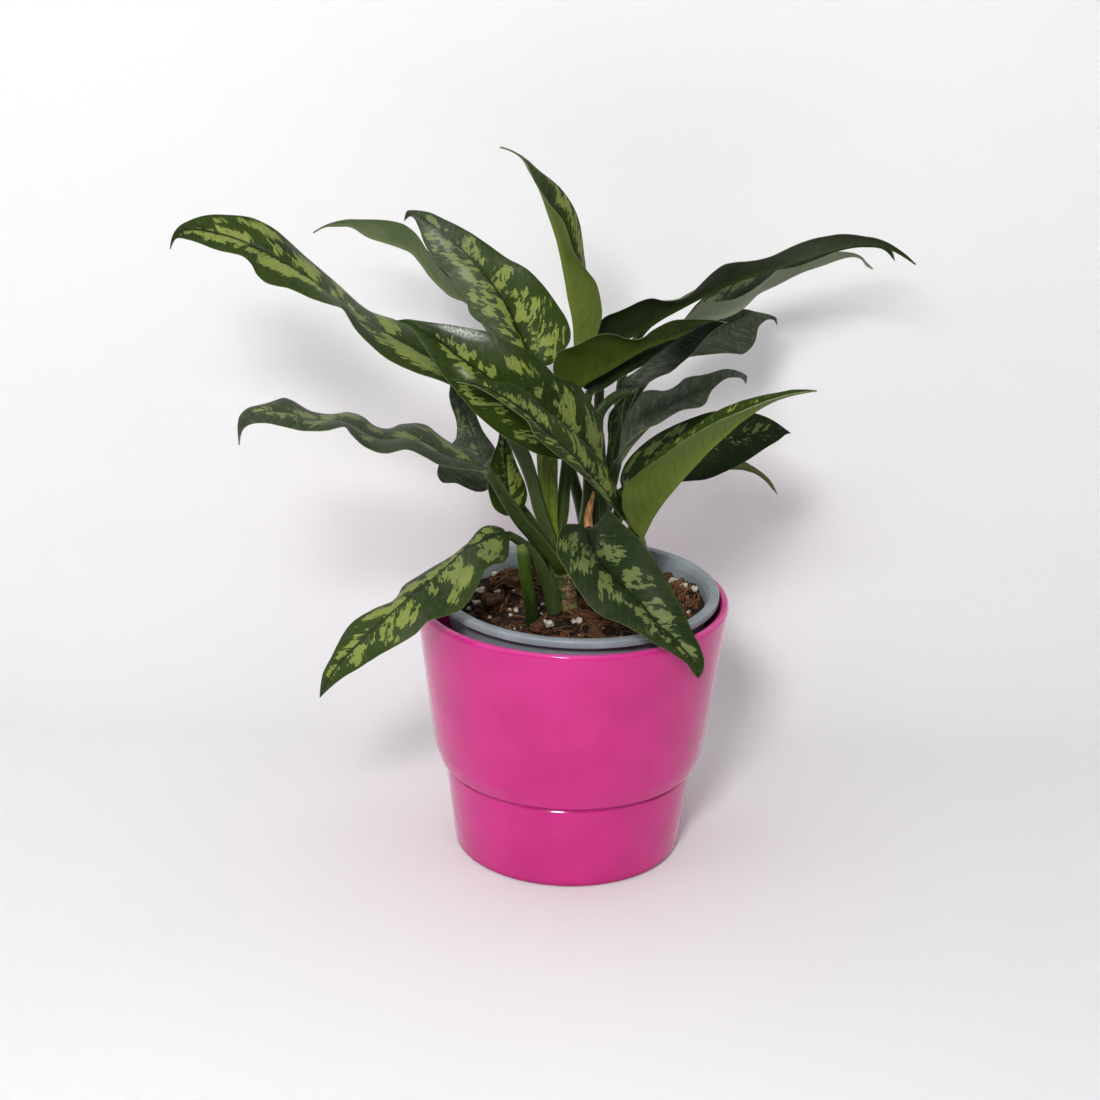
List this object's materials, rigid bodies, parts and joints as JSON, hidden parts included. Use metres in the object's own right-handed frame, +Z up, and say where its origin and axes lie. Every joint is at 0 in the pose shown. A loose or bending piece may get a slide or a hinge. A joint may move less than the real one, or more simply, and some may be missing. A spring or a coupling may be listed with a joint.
{
  "type": "potted chinese evergreen plant",
  "caption": "Potted aroid house plant: long blotched green leaves on sheathed stalks from short canes, in a plastic grower's pot that stands inside a glossy stepped ceramic pot.",
  "frame": {"origin": "centre of the ceramic pot's flat underside, on the surface it stands on", "axes": "+Z up, -Y towards the viewer of the picture, +X to the viewer's right"},
  "size_m": [0.3397, 0.1989, 0.3308],
  "materials": {
    "pot_glaze": "smooth glossy magenta glaze",
    "grower_plastic": "satin grey moulded plastic, dusty at the rim",
    "potting_mix": "moist bark and peat fibre mix, rough",
    "bark": "rough fibrous bark chips",
    "perlite": "matte off-white porous grains",
    "cane": "ringed green stem, corky brown patches, satin",
    "stalk": "smooth fleshy dark green stalk with a pale cut end, satin",
    "dry_sheath": "dry papery tan sheath, matte",
    "leaf": "waxy dark green leaf with sage green blotches, satin sheen",
    "leaf_plain": "plain olive green leaf underside with fine side veins, satin"
  },
  "bodies": {
    "root": {"cachepot": "pot_glaze", "nursery_pot": "grower_plastic", "potting_mix": "potting_mix", "perlite_1": "perlite", "perlite_2": "perlite", "perlite_3": "perlite", "perlite_4": "perlite", "perlite_5": "perlite", "perlite_6": "perlite", "perlite_7": "perlite", "perlite_8": "perlite", "perlite_9": "perlite", "bark_chip_1": "bark", "bark_chip_2": "bark", "bark_chip_3": "bark", "bark_chip_4": "bark", "bark_chip_5": "bark", "cane_front": "cane", "cane_right": "cane", "cane_back_right": "cane", "cane_back_left": "cane", "cane_back": "cane", "cut_stalk": "stalk", "dry_sheath": "dry_sheath", "leaf_01": "leaf", "leaf_02": "leaf_plain", "leaf_03": "leaf", "leaf_04": "leaf", "leaf_05": "leaf", "leaf_06": "leaf", "leaf_07": "leaf", "leaf_08": "leaf", "leaf_09": "leaf", "leaf_10": "leaf", "leaf_11": "leaf", "leaf_12": "leaf", "leaf_13": "leaf", "leaf_14": "leaf", "leaf_15": "leaf", "leaf_16": "leaf", "leaf_17": "leaf_plain", "leaf_18": "leaf", "leaf_19": "leaf", "leaf_20": "leaf", "leaf_21": "leaf", "leaf_22": "leaf_plain", "leaf_23": "leaf"}
  },
  "joints": []
}
